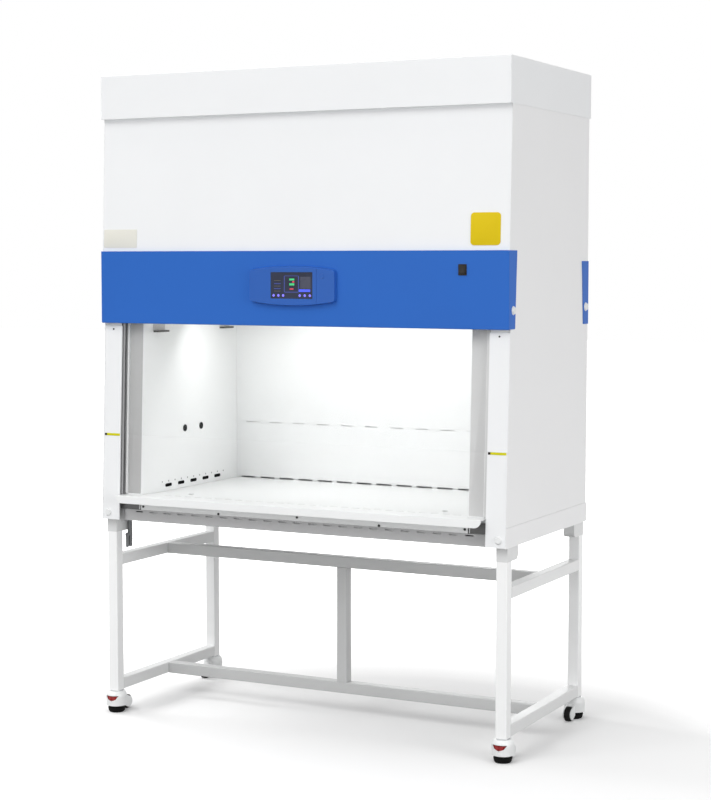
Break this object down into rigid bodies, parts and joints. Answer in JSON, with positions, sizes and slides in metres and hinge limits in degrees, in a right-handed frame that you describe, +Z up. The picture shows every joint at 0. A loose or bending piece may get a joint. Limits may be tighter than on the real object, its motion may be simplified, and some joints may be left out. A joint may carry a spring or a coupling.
{
  "type": "biosafety cabinet",
  "caption": "Floor-standing biosafety cabinet with a sliding glass sash, white work chamber, blue fascia and a tube stand on levelling castors.",
  "frame": {"origin": "on the floor under the middle of the whole object's bounding box", "axes": "+X along the width to the right as seen from the front, +Y to the back, +Z up"},
  "size_m": [1.5258, 0.753, 2.192],
  "materials": {
    "panel_white": "satin powder coat",
    "panel_grey": "satin powder coat",
    "accent_blue": "satin powder coat",
    "stand_grey": "satin powder coat",
    "stainless": "brushed",
    "chamber_white": "satin powder coat",
    "apron_grey": "satin",
    "alloy": "anodised",
    "dark_metal": "matt",
    "castor_white": "satin",
    "wheel_black": "matt",
    "dial_red": "satin",
    "pad_rubber": "matt",
    "clear_glass": "clear",
    "screen_black": "gloss",
    "pod_blue": "satin",
    "black_plastic": "satin",
    "filter_media": "pleated",
    "belt_rubber": "toothed",
    "lamp_white": "gloss",
    "trim_plug": "satin",
    "drain_grey": "satin",
    "plate_yellow": "satin",
    "plate_pale": "satin"
  },
  "bodies": {
    "cabinet": {"stand_legs": "stand_grey", "stand_side_rails": "stand_grey", "stand_crossbars": "stand_grey", "stand_brackets": "stand_grey", "castor_stems": "stainless", "base_frame": "panel_grey", "sump": "stainless", "side_panels": "panel_grey", "back_panel": "panel_grey", "top_cover": "panel_white", "front_panel": "panel_white", "fascia": "accent_blue", "rear_trims": "accent_blue", "front_posts": "panel_white", "lower_front_panel": "apron_grey", "chamber_walls": "chamber_white", "header": "chamber_white", "diffuser": "chamber_white", "diffuser_brackets": "stainless", "lamp": "lamp_white", "plenum_box": "alloy", "supply_filter": "filter_media", "exhaust_filter": "filter_media", "blower_housing": "alloy", "fan_motor": "dark_metal", "sash_guides": "dark_metal", "sash_belts": "belt_rubber", "sash_bearings": "dark_metal", "sash_motor": "dark_metal", "control_pod": "pod_blue", "touch_screen": "screen_black", "switch_frame": "black_plastic", "round_caps": "trim_plug", "drain_valve": "drain_grey"},
    "sash": {"sash_glass": "clear_glass", "sash_brackets": "alloy"},
    "drive": {"drive_shaft": "alloy"},
    "idlers": {"idler_pulleys": "alloy"},
    "tray": {"work_tray": "chamber_white"},
    "armrest": {"armrest": "chamber_white"},
    "impeller": {"impeller": "alloy"},
    "rocker": {"rocker": "black_plastic"},
    "button": {"pod_button": "pod_blue"},
    "drain_lever": {"drain_lever": "drain_grey"},
    "housing_front_left": {"castor_housing_front_left": "castor_white"},
    "wheel_front_left": {"castor_wheel_front_left": "wheel_black"},
    "dial_front_left": {"castor_dial_front_left": "dial_red"},
    "pad_front_left": {"castor_pad_front_left": "pad_rubber"},
    "housing_front_right": {"castor_housing_front_right": "castor_white"},
    "wheel_front_right": {"castor_wheel_front_right": "wheel_black"},
    "dial_front_right": {"castor_dial_front_right": "dial_red"},
    "pad_front_right": {"castor_pad_front_right": "pad_rubber"},
    "housing_rear_left": {"castor_housing_rear_left": "castor_white"},
    "wheel_rear_left": {"castor_wheel_rear_left": "wheel_black"},
    "dial_rear_left": {"castor_dial_rear_left": "dial_red"},
    "pad_rear_left": {"castor_pad_rear_left": "pad_rubber"},
    "housing_rear_right": {"castor_housing_rear_right": "castor_white"},
    "wheel_rear_right": {"castor_wheel_rear_right": "wheel_black"},
    "dial_rear_right": {"castor_dial_rear_right": "dial_red"},
    "pad_rear_right": {"castor_pad_rear_right": "pad_rubber"}
  },
  "joints": [
    {"name": "sash_slide", "type": "slide", "parent": "cabinet", "child": "sash", "axis": [0, 0.0419, 0.9991], "range_m": [-0.2045, 0.376]},
    {"name": "drive_spin", "type": "hinge", "parent": "cabinet", "child": "drive", "pos_m": [0, -0.24358, 2.012], "axis": [1, 0, 0], "range_deg": [-1080, 590]},
    {"name": "idler_spin", "type": "hinge", "parent": "cabinet", "child": "idlers", "pos_m": [0, -0.27083, 1.362], "axis": [1, 0, 0], "range_deg": [-1080, 590]},
    {"name": "tray_lift", "type": "slide", "parent": "cabinet", "child": "tray", "axis": [0, 0, 1], "range_m": [0, 0.15]},
    {"name": "armrest_pull", "type": "slide", "parent": "cabinet", "child": "armrest", "axis": [0, -1, 0], "range_m": [0, 0.12]},
    {"name": "impeller_spin", "type": "hinge", "parent": "cabinet", "child": "impeller", "pos_m": [0, 0.2565, 1.7], "axis": [0, 1, 0], "continuous": true},
    {"name": "rocker_tilt", "type": "hinge", "parent": "cabinet", "child": "rocker", "pos_m": [0.597, -0.3415, 1.539], "axis": [1, 0, 0], "range_deg": [0, 14]},
    {"name": "button_press", "type": "slide", "parent": "cabinet", "child": "button", "axis": [0, 1, 0], "range_m": [0, 0.0015], "stiffness_N_per_m": 200},
    {"name": "lever_turn", "type": "hinge", "parent": "cabinet", "child": "drain_lever", "pos_m": [-0.697, -0.2745, 0.619], "axis": [0, 1, 0], "range_deg": [0, 90]},
    {"name": "swivel_front_left", "type": "hinge", "parent": "cabinet", "child": "housing_front_left", "pos_m": [-0.7268, -0.3075, 0.07], "axis": [0, 0, 1], "continuous": true},
    {"name": "roll_front_left", "type": "hinge", "parent": "housing_front_left", "child": "wheel_front_left", "pos_m": [-0.7268, -0.2515, 0.024], "axis": [1, 0, 0], "continuous": true},
    {"name": "dial_front_left", "type": "hinge", "parent": "housing_front_left", "child": "dial_front_left", "pos_m": [-0.7268, -0.3075, 0.05], "axis": [0, 0, 1], "range_deg": [-1442, 722]},
    {"name": "screw_front_left", "type": "slide", "parent": "housing_front_left", "child": "pad_front_left", "axis": [0, 0, 1], "range_m": [-0.008, 0.004]},
    {"name": "swivel_front_right", "type": "hinge", "parent": "cabinet", "child": "housing_front_right", "pos_m": [0.7268, -0.3075, 0.07], "axis": [0, 0, 1], "continuous": true},
    {"name": "roll_front_right", "type": "hinge", "parent": "housing_front_right", "child": "wheel_front_right", "pos_m": [0.7268, -0.2515, 0.024], "axis": [1, 0, 0], "continuous": true},
    {"name": "dial_front_right", "type": "hinge", "parent": "housing_front_right", "child": "dial_front_right", "pos_m": [0.7268, -0.3075, 0.05], "axis": [0, 0, 1], "range_deg": [-1442, 722]},
    {"name": "screw_front_right", "type": "slide", "parent": "housing_front_right", "child": "pad_front_right", "axis": [0, 0, 1], "range_m": [-0.008, 0.004]},
    {"name": "swivel_rear_left", "type": "hinge", "parent": "cabinet", "child": "housing_rear_left", "pos_m": [-0.7268, 0.3345, 0.07], "axis": [0, 0, 1], "continuous": true},
    {"name": "roll_rear_left", "type": "hinge", "parent": "housing_rear_left", "child": "wheel_rear_left", "pos_m": [-0.7268, 0.2785, 0.024], "axis": [1, 0, 0], "continuous": true},
    {"name": "dial_rear_left", "type": "hinge", "parent": "housing_rear_left", "child": "dial_rear_left", "pos_m": [-0.7268, 0.3345, 0.05], "axis": [0, 0, 1], "range_deg": [-1442, 722]},
    {"name": "screw_rear_left", "type": "slide", "parent": "housing_rear_left", "child": "pad_rear_left", "axis": [0, 0, 1], "range_m": [-0.008, 0.004]},
    {"name": "swivel_rear_right", "type": "hinge", "parent": "cabinet", "child": "housing_rear_right", "pos_m": [0.7268, 0.3345, 0.07], "axis": [0, 0, 1], "continuous": true},
    {"name": "roll_rear_right", "type": "hinge", "parent": "housing_rear_right", "child": "wheel_rear_right", "pos_m": [0.7268, 0.2785, 0.024], "axis": [1, 0, 0], "continuous": true},
    {"name": "dial_rear_right", "type": "hinge", "parent": "housing_rear_right", "child": "dial_rear_right", "pos_m": [0.7268, 0.3345, 0.05], "axis": [0, 0, 1], "range_deg": [-1442, 722]},
    {"name": "screw_rear_right", "type": "slide", "parent": "housing_rear_right", "child": "pad_rear_right", "axis": [0, 0, 1], "range_m": [-0.008, 0.004]}
  ],
  "couplings": [
    {"joint": "drive_spin", "follows": "sash_slide", "rad_per_m": -50},
    {"joint": "idler_spin", "follows": "sash_slide", "rad_per_m": -50},
    {"joint": "dial_front_left", "follows": "screw_front_left", "rad_per_m": 3141.6},
    {"joint": "dial_front_right", "follows": "screw_front_right", "rad_per_m": 3141.6},
    {"joint": "dial_rear_left", "follows": "screw_rear_left", "rad_per_m": 3141.6},
    {"joint": "dial_rear_right", "follows": "screw_rear_right", "rad_per_m": 3141.6}
  ]
}
